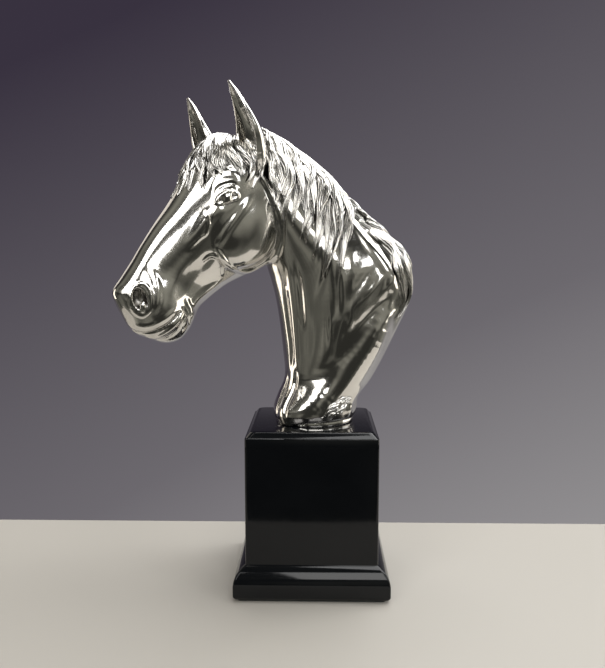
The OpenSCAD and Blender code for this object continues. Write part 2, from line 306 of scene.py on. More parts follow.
lacquer = lacquer_material()
SIDES = ("front", "right", "back", "left")
body_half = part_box("plinth_cap")[1][0] / MM
board_low, board_high = (np.array(corner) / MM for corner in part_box("front_board"))
board_inner = -board_high[1]
board_corner = 2.0
board_profile = [
    (body_half, board_low[2], board_corner), (body_half, board_high[2] - 0.12, board_corner),
    (body_half - 0.15, board_high[2], board_corner),
    (board_inner, board_high[2], 0.01), (board_inner, board_low[2], 0.01),
]
for quarter, side in enumerate(SIDES):
    board = mitred_side(f"{side}_side", board_profile, quarter)
    ease_edges(board, 0.12)
    board.data.materials.append(lacquer)
    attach(board, "root")
    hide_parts(f"{side}_board")

# ---------- Foot mouldings ----------
# Four lengths of moulding, mitred and glued around the bottom: a plain band with a rounded lower
# edge, and a long convex curve up to the body. They are lacquered together with the boards.
(_, foot_front, foot_bottom), (_, _, foot_top) = np.array(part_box("front_moulding")) / MM
foot_half = -foot_front
foot_band_top = foot_bottom + 8.5
foot_round = 3.0
curve_height = foot_top - foot_band_top
curve_reach = foot_half - body_half
curve_radius = (curve_reach ** 2 + curve_height ** 2) / (2 * curve_reach)
foot_profile = [(body_half, foot_bottom, 0.6)]
for step in range(7):
    angle = math.pi / 2 * (1 - step / 6)
    foot_profile.append((
        foot_half - foot_round + foot_round * math.cos(angle),
        foot_bottom + foot_round - foot_round * math.sin(angle),
        1.2,
    ))
curve_end = math.asin(curve_height / curve_radius)
for step in range(17):
    angle = curve_end * step / 16
    foot_profile.append((
        foot_half - curve_radius + curve_radius * math.cos(angle),
        foot_band_top + curve_radius * math.sin(angle),
        1.2 + 0.8 * step / 16,
    ))
for quarter, side in enumerate(SIDES):
    moulding = mitred_side(f"{side}_foot", foot_profile, quarter)
    ease_edges(moulding, 0.2)
    moulding.data.materials.append(lacquer)
    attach(moulding, "root")
    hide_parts(f"{side}_moulding")

# ---------- Cap ----------
# A square board glued over the side boards, with a small square step and a flat bevel worked
# around its top edge, finished in the same black lacquer.
cap_bottom, plinth_top = np.array(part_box("plinth_cap"))[:, 2] / MM
cap_bevel = 3.6
cap_levels = [
    (body_half - 0.25, cap_bottom, 2.0),
    (body_half, cap_bottom + 0.2, 2.0),
    (body_half, plinth_top - cap_bevel - 0.5, 2.0),
    (body_half - 0.15, plinth_top - cap_bevel - 0.15, 2.0),
    (body_half - 0.5, plinth_top - cap_bevel, 2.2),
    (body_half - 1.0, plinth_top - cap_bevel + 0.25, 2.4),
    (body_half - 3.0, plinth_top - 0.75, 4.0),
    (body_half - 3.5, plinth_top - 0.25, 4.4),
    (body_half - 4.3, plinth_top, 5.0),
]
cap_rings = [[(px, py, z) for px, py in rounded_square(half, radius, 10)] for half, z, radius in cap_levels]
cap_points, cap_faces = stacked_rings(cap_rings)
cap = new_mesh("cap", cap_points, cap_faces)
ease_edges(cap, 0.1)
cap.data.materials.append(lacquer)
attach(cap, "root")
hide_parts("plinth_cap")

# ---------- Head and neck ----------
# The bust is modelled in clay: a neck and a head rolled to shape, blended, then worked with beads
# and grooves. It is cast in bronze as two shells that are brazed together, then chased, silver
# plated, darkened and polished; the darkness in its hollows is partly oxide and partly painted shade.
CHORD = [0.08, 0.28, 0.5, 0.72, 0.92]
# Neck, from the foot up: front x and z, back x and z, half widths along the section
NECK = [
    [-26, 114, 29, 114, [19, 26, 27, 24, 15]],
    [-28, 123, 32, 124, [19, 27, 27, 24, 14]],
    [-25, 133, 33, 132, [14, 23, 25, 21, 12]],
    [-20, 146, 42, 144, [12, 20, 22, 19, 10]],
    [-21, 164, 52, 163, [12, 21, 24, 19, 10]],
    [-23, 182, 62, 184, [12, 22, 26, 20, 9]],
    [-26, 200, 70, 204, [12, 22, 26, 20, 9]],
    [-29, 213, 69, 224, [12, 22, 26, 20, 9]],
    [-32, 223, 58, 240, [12, 22, 25, 18, 8]],
    [-35, 236, 39, 252, [12, 22, 24, 17, 8]],
    [-39, 250, 21, 269, [12, 22, 23, 15, 7]],
    [-45, 267, 0, 289, [12, 20, 21, 15, 7]],
    [-55, 284, -29, 310, [10, 16, 17, 13, 7]],
    [-66, 294, -44, 317, [5, 9, 10, 8, 4]],
]
# Head, from the poll to the lips, in its own upright plane: brow reach and z, jaw reach and z,
# half widths. Reach is measured from the throat toward the nose.
HEAD = [
    [14, 309, -14, 291, [9, 12, 12, 11, 6]],
    [34, 309, -17, 262, [12, 20, 21, 18, 11]],
    [46, 301, -14, 240, [14, 24, 22, 20, 13]],
    [55, 289, -4, 228, [14, 25, 23, 21, 13]],
    [63, 276, 8, 221, [13, 23, 22, 20, 11]],
    [71, 264, 20, 216, [12, 20, 20, 17, 9]],
    [80, 252, 29, 212, [10, 17, 18, 14, 8]],
    [89, 239, 37, 207, [9, 15, 16, 12, 7]],
    [96, 228, 44, 202, [9, 14, 15, 12, 7]],
    [103, 218, 50, 197, [9, 15, 16, 13, 8]],
    [109, 209, 54, 190, [8, 15, 17, 15, 10]],
    [107, 201, 58, 183, [8, 14, 16, 15, 10]],
    [103, 193, 64, 178, [7, 12, 14, 13, 9]],
    [99, 186, 75, 175, [5, 9, 10, 9, 7]],
    [94, 181, 84, 177, [2, 3, 4, 3, 2]],
]
head_turn = math.radians(34)
throat_x = -35.4
AHEAD = np.array([-math.cos(head_turn), -math.sin(head_turn), 0])
LEFT = np.array([math.sin(head_turn), -math.cos(head_turn), 0])
UP = np.array([0.0, 0.0, 1.0])


# Points given as (reach, z, side) in the head's own frame
def in_head(points, side=1):
    points = np.atleast_2d(np.asarray(points, float))
    reach, height, out = points[:, :1], points[:, 1:2], side * points[:, 2:3]
    return np.array([throat_x, 0, 0]) + reach * AHEAD + height * UP + out * LEFT


# A smooth curve through points, or a smooth skin through rings
def spline(points, steps, closed=False):
    points = np.asarray(points, float)
    count = len(points)
    t = (np.arange(steps) / steps).reshape((-1,) + (1,) * (points.ndim - 1))
    stretches = []
    for i in range(count if closed else count - 1):
        if closed:
            a, b, c, d = (points[(i + shift) % count] for shift in (-1, 0, 1, 2))
        else:
            a, b, c, d = points[max(i - 1, 0)], points[i], points[i + 1], points[min(i + 2, count - 1)]
        stretches.append(0.5 * (
            2 * b + (c - a) * t + (2 * a - 5 * b + 4 * c - d) * t ** 2 + (3 * b - a - 3 * c + d) * t ** 3
        ))
    if not closed:
        stretches.append(points[-1:])
    return np.concatenate(stretches)


# One section of the neck or head: half widths on each side of a chord from front to back
def section_ring(front, back, side, widths, steps):
    chord = back - front
    near = [front + chord * share + side * width for share, width in zip(CHORD, widths)]
    far = [front + chord * share - side * width for share, width in zip(CHORD, widths)]
    return spline([front] + near + [back] + far[::-1], steps, closed=True)


# The clay is held as a block of small cells, each with its distance from the surface.
CELL = 0.6
BLOCK_LOW = np.array([-135.0, -78.0, 110.0])
BLOCK_CELLS = (360, 186, 360)
FIRST_CELL = np.round(BLOCK_LOW / CELL).astype(int)
REACH_CELLS = 20
CELL_X, CELL_Y, CELL_Z = ((np.arange(n) + first) * CELL for n, first in zip(BLOCK_CELLS, FIRST_CELL))


# Fills a skin of rings with clay, closed by a fan at each end
def clay_from(rings):
    rings = np.asarray(rings)
    levels, count, _ = rings.shape
    start = np.arange(levels - 1)[:, None] * count
    i = np.arange(count)[None]
    j = (i + 1) % count
    quads = np.stack([start + i, start + count + i, start + count + j, start + j], -1).reshape(-1, 4)
    points = np.vstack([rings.reshape(-1, 3), rings[0].mean(0), rings[-1].mean(0)])
    low_hub, high_hub = len(points) - 2, len(points) - 1
    i, j = i[0], j[0]
    top = (levels - 1) * count
    fans = np.concatenate([
        np.stack([np.full(count, low_hub), i, j], -1),
        np.stack([np.full(count, high_hub), top + j, top + i], -1),
    ])
    grid = vdb.FloatGrid.createLevelSetFromPolygons(
        points.astype(np.float32),
        triangles=fans.astype(np.uint32),
        quads=quads.astype(np.uint32),
        transform=vdb.createLinearTransform(CELL),
        halfWidth=REACH_CELLS,
    )
    block = np.zeros(BLOCK_CELLS, np.float32)
    grid.copyToArray(block, ijk=tuple(int(v) for v in FIRST_CELL))
    return block


# Joins two shapes with a soft fillet
def melt(a, b, width):
    share = np.clip(0.5 + 0.5 * (b - a) / width, 0, 1)
    return b * (1 - share) + a * share - width * share * (1 - share)


# How far points lie outside the surface, in millimetres
def distance_at(block, points):
    place = np.asarray(points, float) / CELL - FIRST_CELL
    corner = np.clip(np.floor(place).astype(int), 0, np.array(BLOCK_CELLS) - 2)
    part = place - corner
    total = 0
    for dx in (0, 1):
        for dy in (0, 1):
            for dz in (0, 1):
                weight = (
                    (part[..., 0] if dx else 1 - part[..., 0])
                    * (part[..., 1] if dy else 1 - part[..., 1])
                    * (part[..., 2] if dz else 1 - part[..., 2])
                )
                cell = corner + (dx, dy, dz)
                total = total + weight * block[cell[..., 0], cell[..., 1], cell[..., 2]]
    return total


def unit(ways):
    return ways / np.maximum(np.linalg.norm(ways, axis=-1, keepdims=True), 1e-6)


# Unit directions that point straight out of the surface of the clay
def outward(points, reach=1.0):
    points = np.asarray(points, float)
    ways = np.eye(3) * reach
    rise = [distance_at(clay, points + way) - distance_at(clay, points - way) for way in ways]
    return unit(np.stack(rise, -1))


# Moves points straight in or out until they stand the wanted height over the surface
def onto(points, lift=0.0, rounds=10):
    points = np.array(points, float)
    for _ in range(rounds):
        points = points - outward(points) * (distance_at(clay, points) - lift)[..., None]
    return points


def cells_around(low, high):
    first = np.clip(np.floor(low / CELL).astype(int) - FIRST_CELL, 0, BLOCK_CELLS)
    last = np.clip(np.ceil(high / CELL).astype(int) - FIRST_CELL + 1, 0, BLOCK_CELLS)
    return tuple(slice(a, b) for a, b in zip(first, last))


def cell_places(part):
    return CELL_X[part[0]][:, None, None], CELL_Y[part[1]][None, :, None], CELL_Z[part[2]][None, None, :]


# Lays a bead of clay along the surface, standing proud of it and fading out toward its ends,
# or cuts a groove of the same shape
def bead(route, radius, proud, soft=1.5, cut=False, fade=0.25, steps=4):
    path = spline(route, steps)
    share = np.linspace(0, 1, len(path))
    ends = np.clip(np.minimum(share, 1 - share) / max(fade, 1e-6), 0, 1) if fade else np.ones(len(path))
    height = (proud + soft) * ends * (2 - ends) - soft
    sizes = spline(radius, steps) if np.ndim(radius) else np.full(len(path), float(radius))
    path = onto(path, sizes - height if cut else height - sizes)
    pad = sizes.max() + soft * 1.5 + 1.5
    part = cells_around(path.min(0) - pad, path.max(0) + pad)
    x, y, z = cell_places(part)
    nearest = None
    for a, b, size_a, size_b in zip(path[:-1], path[1:], sizes[:-1], sizes[1:]):
        way = b - a
        from_x, from_y, from_z = x - a[0], y - a[1], z - a[2]
        t = np.clip((from_x * way[0] + from_y * way[1] + from_z * way[2]) / max(way @ way, 1e-9), 0, 1)
        gap = np.sqrt((from_x - t * way[0]) ** 2 + (from_y - t * way[1]) ** 2 + (from_z - t * way[2]) ** 2)
        gap = (gap - (size_a + (size_b - size_a) * t)).astype(np.float32)
        nearest = gap if nearest is None else np.minimum(nearest, gap)
    clay[part] = -melt(-clay[part], nearest, soft) if cut else melt(clay[part], nearest, soft)


# Presses an egg of clay on, or scoops one out
def egg(centre, axes, radii, soft=2.0, cut=False):
    radii = np.asarray(radii, float)
    pad = radii.max() + soft * 1.5 + 1.5
    part = cells_around(centre - pad, centre + pad)
    x, y, z = cell_places(part)
    from_x, from_y, from_z = x - centre[0], y - centre[1], z - centre[2]
    along = [(from_x * a[0] + from_y * a[1] + from_z * a[2]) / r for a, r in zip(axes, radii)]
    size = np.sqrt(along[0] ** 2 + along[1] ** 2 + along[2] ** 2)
    slope = np.sqrt(sum((a / r) ** 2 for a, r in zip(along, radii)))
    gap = (size * (size - 1) / np.maximum(slope, 1e-6)).astype(np.float32)
    clay[part] = -melt(-clay[part], gap, soft) if cut else melt(clay[part], gap, soft)


neck_rings = [
    section_ring(np.array([fx, 0.0, fz]), np.array([bx, 0.0, bz]), np.array([0.0, -1.0, 0.0]), widths, 8)
    for fx, fz, bx, bz, widths in NECK
]
head_rings = [
    section_ring(in_head((bh, bz, 0))[0], in_head((jh, jz, 0))[0], LEFT, widths, 8)
    for bh, bz, jh, jz, widths in HEAD
]
neck_clay = clay_from(spline(neck_rings, 4))
head_clay = clay_from(spline(head_rings, 4))

# The neck keeps the long soft strokes of the hand that modelled it, which the polish turns into
# streaks of light: (x, z, half width, half length, lean in degrees, height)
strokes = np.random.default_rng(5)
stroke_places = [
    (34, 216, 3.5, 11, 35, -0.9), (42, 209, 3.2, 12, 38, 1.3), (48, 199, 3.5, 10, 40, -1.1),
    (30, 200, 3.5, 12, 36, 0.6), (38, 190, 3.2, 11, 42, -0.9), (45, 181, 4.0, 11, 45, 1.2),
    (27, 180, 3.5, 12, 38, -0.6), (34, 167, 4.0, 12, 45, 0.9), (20, 160, 4.0, 11, 50, -0.6),
    (54, 213, 3.2, 9, 30, 1.2), (58, 200, 3.2, 9, 25, -1.0), (53, 190, 3.2, 8, 35, 1.0),
]
for _ in range(14):
    stroke_places.append((
        strokes.uniform(-4, 28), strokes.uniform(168, 238),
        strokes.uniform(1.6, 2.6), strokes.uniform(6, 14),
        strokes.uniform(-4, 18), strokes.choice([-1, 1]) * strokes.uniform(0.2, 0.45),
    ))
relief = np.zeros((BLOCK_CELLS[0], BLOCK_CELLS[2]))
for x, z, half_width, half_length, lean, height in stroke_places:
    along_x, along_z = math.sin(math.radians(lean)), math.cos(math.radians(lean))
    from_x, from_z = CELL_X[:, None] - x, CELL_Z[None] - z
    across = (from_x * along_z - from_z * along_x) / half_width
    along = (from_x * along_x + from_z * along_z) / half_length
    relief += height * np.exp(-across ** 2 - along ** 2)
relief += 0.12 * np.sin(CELL_X / 5.3)[:, None] * np.sin(CELL_Z / 8.9 + 1.0)[None]
neck_clay -= relief[:, None].astype(np.float32)
clay = melt(neck_clay, head_clay, 4.0)
nose_way = AHEAD * 0.545 - UP * 0.838
jaw_way = -AHEAD * 0.838 - UP * 0.545

# The face is worked the same on both sides. Places on it are given as (reach, z, side).
nostril_holes = []
for side in (1, -1):
    left = LEFT * side
    face_axes = [nose_way, jaw_way, left]

    def spot(reach, z, out):
        return in_head((reach, z, out), side)[0]

    def line(*points):
        return in_head(points, side)

    # Cheek: a round plate with an edge where the front of the face meets it, a groove along the
    # throat and a raised rim inside that
    egg(spot(22, 252, 15), face_axes, (30, 25, 11), soft=4)
    bead(line((20, 272, 24), (27, 264, 25), (33, 257, 25.5), (39, 249, 24.5), (44, 241, 23),
              (48, 235, 21)),
         2.6, 0.4, soft=2.5)
    bead(line((11, 286, 20), (4, 277, 21), (-1, 268, 22), (-5.5, 258, 22), (-7, 247, 21),
              (-7, 236, 17), (-5, 227, 12)),
         2.2, 1.6, soft=2.0, cut=True, fade=0.3, steps=2)
    bead(line((17, 288, 21), (10, 279, 22), (5, 270, 24), (1, 259, 25), (-1, 247, 24), (-1, 237, 20),
              (1, 229, 15), (5, 223, 10), (14, 219, 9), (24, 220, 12), (34, 224, 16), (41, 230, 19),
              (47, 236, 21)), [1.8, 2.2, 2.8, 3.2, 3.4, 3.2, 2.6, 2.4, 2.6, 2.6, 2.2, 1.8, 1.4],
         1.8, soft=1.2, fade=0.08)
    # Hollow between the cheek and the lips, with an arched edge, and the bar of the jaw below it
    egg(spot(54, 222, 21), face_axes, (12, 6.5, 5.5), soft=3.5, cut=True)
    egg(spot(65, 215, 20.5), face_axes, (13, 6, 5), soft=4, cut=True)
    bead(line((54, 226, 18), (50, 230, 19), (46, 230, 19), (41.5, 227, 18), (38, 222, 15.5),
              (35, 216.5, 11)),
         1.1, 0.7, soft=1.2, fade=0.15)
    bead(line((36, 214, 10), (45, 209, 10), (54, 203, 11), (60, 198, 11.5)),
         [2.4, 3.0, 3.0, 2.2], 0.5, soft=2.5)
    # Bone under the eye
    bead(line((44, 262, 24), (51, 258, 23.5), (58, 247, 20.5), (66, 235, 17.5)),
         3.2, 0.3, soft=3.5, fade=0.4)
    # Eye socket, brow, eyeball and lids, with a fold of skin above and another in front
    egg(spot(41, 269.5, 28), face_axes, (8.5, 6, 4.6), soft=3, cut=True)
    bead(line((51, 272, 20.5), (47.5, 280, 19.5), (42.5, 284.5, 21), (35.5, 285, 23),
              (29.5, 280, 25.5)),
         3.5, 0.5, soft=3.5, fade=0.35)
    egg(spot(39.5, 269.3, 21.4), face_axes, (5.2, 3.9, 5.4), soft=0.7)
    bead(line((48, 264.5, 23.5), (45.3, 270, 24.8), (41, 273.2, 25.6), (36, 273, 26.3),
              (31.5, 269.5, 26.8)),
         1.3, 1.3, soft=0.8, fade=0.15)
    bead(line((48, 264.5, 23.5), (43.5, 265, 25), (39, 266, 26), (35.5, 267.6, 26.5),
              (31.5, 269.5, 26.8)),
         0.95, 0.8, soft=0.7, fade=0.15)
    bead(line((50, 264, 23), (47, 273.5, 23), (41.5, 277.5, 24), (35, 278, 25), (30, 274.5, 26)),
         0.9, 0.7, soft=0.9, cut=True, fade=0.4)
    bead(line((50, 262, 23), (51.5, 257, 23), (51, 252, 23)), 0.7, 0.4, soft=1.0, cut=True, fade=0.4)
    # Vein across the side of the face
    bead(line((55, 261, 21), (52.5, 257, 22.5), (52, 250, 22.5), (53.5, 245, 22), (58, 242, 20.5),
              (66, 234, 17)), 0.85, 0.5, soft=0.9, fade=0.2)
    # Nostril: a comma-shaped hole with a thin rim, a lobe inside and a fold behind
    egg(spot(96.3, 204.8, 19), [UP * 0.97 + AHEAD * 0.2, AHEAD * 0.97 - UP * 0.2, left],
        (8.8, 4.8, 12), soft=1.0, cut=True)
    nostril_holes.append(spot(96.3, 204.8, 15))
    bead(line((100, 213, 13), (102.8, 204, 12), (101, 196, 12.5), (95.5, 193, 14),
              (90.7, 197.5, 16.5), (89.5, 205.5, 17.5), (91.5, 212.5, 16.5), (95.5, 215.3, 14.5),
              (100, 213, 13)),
         [0.9, 0.9, 0.9, 0.9, 1.0, 1.1, 1.0, 0.9, 0.9], 0.5, soft=0.9, fade=0)
    egg(spot(94.0, 199.5, 12.5), [UP, AHEAD, left], (4.0, 2.0, 2.6), soft=1.2)
    bead(line((91, 227, 12), (87, 219, 14.5), (85.5, 210, 16.8), (86.5, 201, 17.8), (90, 194, 16)),
         2.2, 0.3, soft=2.8, fade=0.4)
    # Lips, the folds at their corner and the wrinkles of the chin
    bead(line((98, 184.5, 0), (94, 183, 6), (88, 183.5, 11), (82, 186, 14), (76, 190, 15.5),
              (69, 196.5, 14.5)), 0.9, 0.9, soft=0.9, cut=True, fade=0.1)
    bead(line((96, 188, 5), (90, 187.5, 11), (83, 190.5, 15), (77, 194.5, 16), (71, 200, 15.5)),
         1.5, 0.3, soft=1.6)
    bead(line((90, 179.5, 4), (84, 180, 9), (77, 184, 13), (71, 190, 14), (66, 196, 13)),
         1.5, 0.5, soft=1.4)
    bead(line((68, 199, 14.5), (64.5, 193, 13.5), (62, 186, 10)), 0.9, 0.8, soft=1.0, cut=True)
    bead(line((64.5, 203, 14), (60.5, 197, 13), (58, 190, 10)), 2.0, 0.4, soft=2.0)
    for drop in (0, 2.6):
        bead(line((84, 178.5 - drop * 0.6, 6), (78, 180.5 - drop, 10), (72, 185 - drop, 12),
                  (68, 190 - drop, 12)), 0.6, 0.4, soft=0.7, cut=True)
    # Swelling at the root of the ear
    egg(spot(16, 292, 17), [AHEAD, UP, left], (7, 8, 6), soft=4)
egg(in_head((72, 181, 0))[0], [AHEAD, UP, LEFT], (9, 6, 9), soft=4)

# The neck has a windpipe and a cord of muscle down its front, a band of muscle behind the mane, a
# broad swelling from the foot up over the shoulder, and folded skin at the foot
for y in (-1, 1):
    bead([(-19, 12 * y, 212), (-18, 12 * y, 198), (-16, 12 * y, 183), (-14, 13 * y, 166),
          (-15, 12 * y, 151)], 1.8, 1.0, soft=1.8, cut=True)
    bead([(-17, 17 * y, 228), (-15, 16 * y, 208), (-12.5, 15 * y, 187), (-11, 15 * y, 166),
          (-10, 16 * y, 151)], 2.0, 0.3, soft=2.0)
    bead([(-12, 20 * y, 230), (-9, 19 * y, 211), (-7, 18 * y, 193), (-6, 19 * y, 178)],
         1.8, 0.6, soft=2.4, cut=True, fade=0.45)
    bead([(24, 5 * y, 262), (31, 9 * y, 251), (38, 13 * y, 240), (45, 15 * y, 231),
          (54, 15 * y, 217), (60, 13 * y, 203)], 4.5, 0.5, soft=3.0, fade=0.3)
    bead([(-6, 26 * y, 123), (4, 26 * y, 129), (16, 25 * y, 137), (29, 23 * y, 149),
          (41, 20 * y, 164), (51, 17 * y, 180), (59, 14 * y, 197)],
         [9, 12, 14, 14, 12, 10, 7], 3.4, soft=6, fade=0.3)
    bead([(-19, 10 * y, 150), (-22, 12 * y, 139), (-25, 15 * y, 127), (-24, 17 * y, 118)],
         1.5, 1.0, soft=1.5, cut=True)
    bead([(-13, 17 * y, 152), (-15, 20 * y, 141), (-18, 21 * y, 131), (-17, 22 * y, 118)],
         1.2, 0.8, soft=1.5, cut=True)
    bead([(33, 12 * y, 141), (34, 15 * y, 133), (31, 18 * y, 125), (28, 19 * y, 118)],
         3.0, 1.0, soft=2.5, fade=0.3)
foot_line = [(-25, 0), (-19, -18), (2, -26), (22, -19), (30, 0), (22, 19), (2, 26), (-19, 18), (-25, 0)]
bead([(x, y, 117.5) for x, y in foot_line], 0.8, 0.6, soft=0.8, cut=True, fade=0)


# Distances averaged over a few millimetres: below zero in grooves, above it on ridges
def softened(block, cells):
    out = block
    for axis in range(3):
        run = np.cumsum(out, axis=axis, dtype=np.float64)
        ahead = np.roll(run, -cells, axis=axis)
        behind = np.roll(run, cells + 1, axis=axis)
        out = ((ahead - behind) / (2 * cells + 1)).astype(np.float32)
    return out


soft_clay = softened(clay, 3)
grid = vdb.FloatGrid()
grid.background = REACH_CELLS * CELL
grid.copyFromArray(clay, ijk=tuple(int(v) for v in FIRST_CELL), tolerance=0.0)
grid.transform = vdb.createLinearTransform(CELL)
bust_points, bust_quads = grid.convertToQuads(0.0)


# Several rounds of averaging with the neighbours, shrinking and growing in turn so that
# the surface loses its cell pattern and keeps its size
def polished(points, quads, rounds):
    pairs = np.concatenate([quads[:, [0, 1]], quads[:, [1, 2]], quads[:, [2, 3]], quads[:, [3, 0]]])
    pairs = np.concatenate([pairs, pairs[:, ::-1]])
    number = np.bincount(pairs[:, 0], minlength=len(points))[:, None]
    points = points.astype(float)
    for turn in range(rounds):
        others = points[pairs[:, 1]].T
        sums = [np.bincount(pairs[:, 0], weights=weights, minlength=len(points)) for weights in others]
        mean = np.stack(sums, -1) / np.maximum(number, 1)
        share = 0.55 if turn % 2 == 0 else -0.57
        points = points + share * (mean - points)
    return points


bust_points = polished(bust_points, bust_quads, 10)
bust = new_mesh("bust", bust_points, bust_quads)
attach(bust, "root")
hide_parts("neck_casting", "head_casting")


# Marks how dark each point is painted, from 0 on ridges to 1 in grooves: partly the dark oxide that the
# plating keeps in its hollows, partly painted shade where the surface is shut in
def mark_oxide_and_shade(piece, values):
    marks = piece.data.attributes.new("oxide_and_shade", "FLOAT", "POINT")
    marks.data.foreach_set("value", np.clip(values, 0, 1).astype(np.float32))


def silver_material(name, light, dark, smooth_roughness):
    material, shader = plain_material(name)
    add, ramp, join = node_tools(material)
    place = add("ShaderNodeTexCoord")
    oxide_and_shade = add("ShaderNodeAttribute", attribute_name="oxide_and_shade")
    cloud = add("ShaderNodeTexNoise", Scale=38.0, Detail=5.0, Roughness=0.6)
    rub = add("ShaderNodeTexNoise", Scale=420.0, Detail=3.0, Roughness=0.5)
    tarnish = ramp([c * 0.86 for c in light], light)
    tarnish.color_ramp.elements[0].position = 0.30
    tarnish.color_ramp.elements[1].position = 0.70
    # Mixes the metal toward the dark colour where each point is marked: dark oxide and painted shade in
    # hollows and between locks
    darken_oxide_and_shade = add("ShaderNodeMix", data_type="RGBA")
    darken_oxide_and_shade.inputs["B"].default_value = (*dark, 1)
    duller = {"To Min": smooth_roughness * 0.75, "To Max": smooth_roughness * 1.5}
    dulling = add("ShaderNodeMapRange", **duller)
    dull_groove = add("ShaderNodeMath", operation="MULTIPLY_ADD")
    dull_groove.inputs[1].default_value = 0.32
    bump = add("ShaderNodeBump", Strength=0.04, Distance=0.0004)
    join(
        (place, "Object", cloud, "Vector"),
        (place, "Object", rub, "Vector"),
        (cloud, "Fac", tarnish, "Fac"),
        (tarnish, "Color", darken_oxide_and_shade, "A"),
        (oxide_and_shade, "Fac", darken_oxide_and_shade, "Factor"),
        (darken_oxide_and_shade, "Result", shader, "Base Color"),
        (rub, "Fac", dulling, "Value"),
        (oxide_and_shade, "Fac", dull_groove, 0),
        (dulling, "Result", dull_groove, 2),
        (dull_groove, "Value", shader, "Roughness"),
        (rub, "Fac", bump, "Height"),
        (bump, "Normal", shader, "Normal"),
    )
    shader.inputs["Metallic"].default_value = 1.0
    return material


# The second colour is the dark oxide and painted shade of the bust's hollows
silver = silver_material("silver_plate", (0.80, 0.78, 0.74), (0.045, 0.040, 0.034), 0.10)
bust.data.materials.append(silver)

# ---------- Ears ----------
# Each ear is cast on its own and brazed on: a leaf rolled into a cup, nearly closed at its root,
# opening forward and outward, with a rounded rim, and fine hairs and a fold of skin inside.
EAR_HALF_WIDTH = [4.5, 8.0, 10.0, 9.0, 6.2, 1.6]
EAR_DEPTH = [4.5, 6.8, 7.4, 6.0, 3.8, 1.2]
EAR_WRAP = [165, 150, 122, 104, 92, 80]
EAR_TURN = [50, 36, 16, 2, -6, -8]
EAR_WALL = 1.1
EAR_RIM = 0.5
ear_levels = 54
for name, node, side, outward_share, root, middle, tip in (
    ("left_ear", "near_ear", 1, 1.0, (14, 287, 18.5), (24, 315, 23.5), (38.5, 342.5, 24)),
    ("right_ear", "far_ear", -1, -0.45, (25, 289, 20.5), (35, 315, 24.5), (44.5, 339, 25.5)),
):
    axis = spline(in_head((root, middle, tip), side), 40)
    t = np.linspace(0, 1, ear_levels)
    axis = axis[np.round(t * (len(axis) - 1)).astype(int)]
    shape = spline(np.stack([EAR_HALF_WIDTH, EAR_DEPTH, EAR_WRAP, EAR_TURN], -1), 40)
    shape = shape[np.round(t * (len(shape) - 1)).astype(int)]
    half, depth, wrap, turn = (shape[:, k:k + 1] for k in range(4))
    way = unit(np.gradient(axis, axis=0))
    turn = turn * outward_share
    facing = AHEAD * np.cos(np.radians(turn)) + LEFT * side * np.sin(np.radians(turn))
    across = unit(np.cross(way, facing))
    front = np.cross(across, way)
    share = np.linspace(-1, 1, 61)[None]
    around = np.radians(wrap) * share
    rim = EAR_RIM * np.clip((np.abs(share) - 0.86) / 0.14, 0, 1) ** 2
    hairs = np.abs(np.sin(share * 8 + 1.1 * np.sin(3.4 * t[:, None]) + 0.5 * np.sin(11 * t[:, None])))
    fade = np.clip(np.minimum((1 - np.abs(share)) / 0.12, (1 - t[:, None]) / 0.15), 0, 1)
    lobe_height = 0.9 * np.sin(math.pi * np.clip(t[:, None] * 1.5, 0, 1))
    lobe = lobe_height * np.exp(-((share - side * 0.45) / 0.09) ** 2)
    wall = np.minimum(EAR_WALL + (0.2 * hairs + lobe) * fade, 0.8 * np.minimum(half, depth))

    sideways = across[:, None] * np.sin(around)[..., None]
    back = front[:, None] * np.cos(around)[..., None]
    outer = axis[:, None] + sideways * (half + rim)[..., None] - back * (depth + rim)[..., None]
    inner = axis[:, None] + sideways * (half - wall)[..., None] - back * (depth - wall)[..., None]
    rings = np.concatenate([outer, inner[:, ::-1]], 1)
    points, faces = stacked_rings(rings)
    ear = new_mesh(name, points, faces)
    rounded = ear.modifiers.new("rounded", "SUBSURF")
    rounded.levels = 1
    rounded.render_levels = 1
    # Inside the cup the metal is marked dark: oxide between the fine hairs, and painted shade deep in the
    # cup and toward its root; the outside is left bright
    low_ground = np.clip(1.1 - 1.3 * hairs, 0, 1) * fade
    hollow_shade = np.exp(-((share - side * 0.22) / 0.24) ** 2) * np.clip(1.5 - 1.5 * t[:, None], 0, 1)
    ear_oxide_and_shade = np.clip(0.25 * low_ground + hollow_shade + np.clip(1 - 2.5 * t[:, None], 0, 1), 0, 1)
    mark_oxide_and_shade(ear, np.concatenate([np.zeros(outer.shape[:2]), ear_oxide_and_shade[:, ::-1]], 1).ravel())
    ear.data.materials.append(silver)
    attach(ear, "root")
    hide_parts(node)


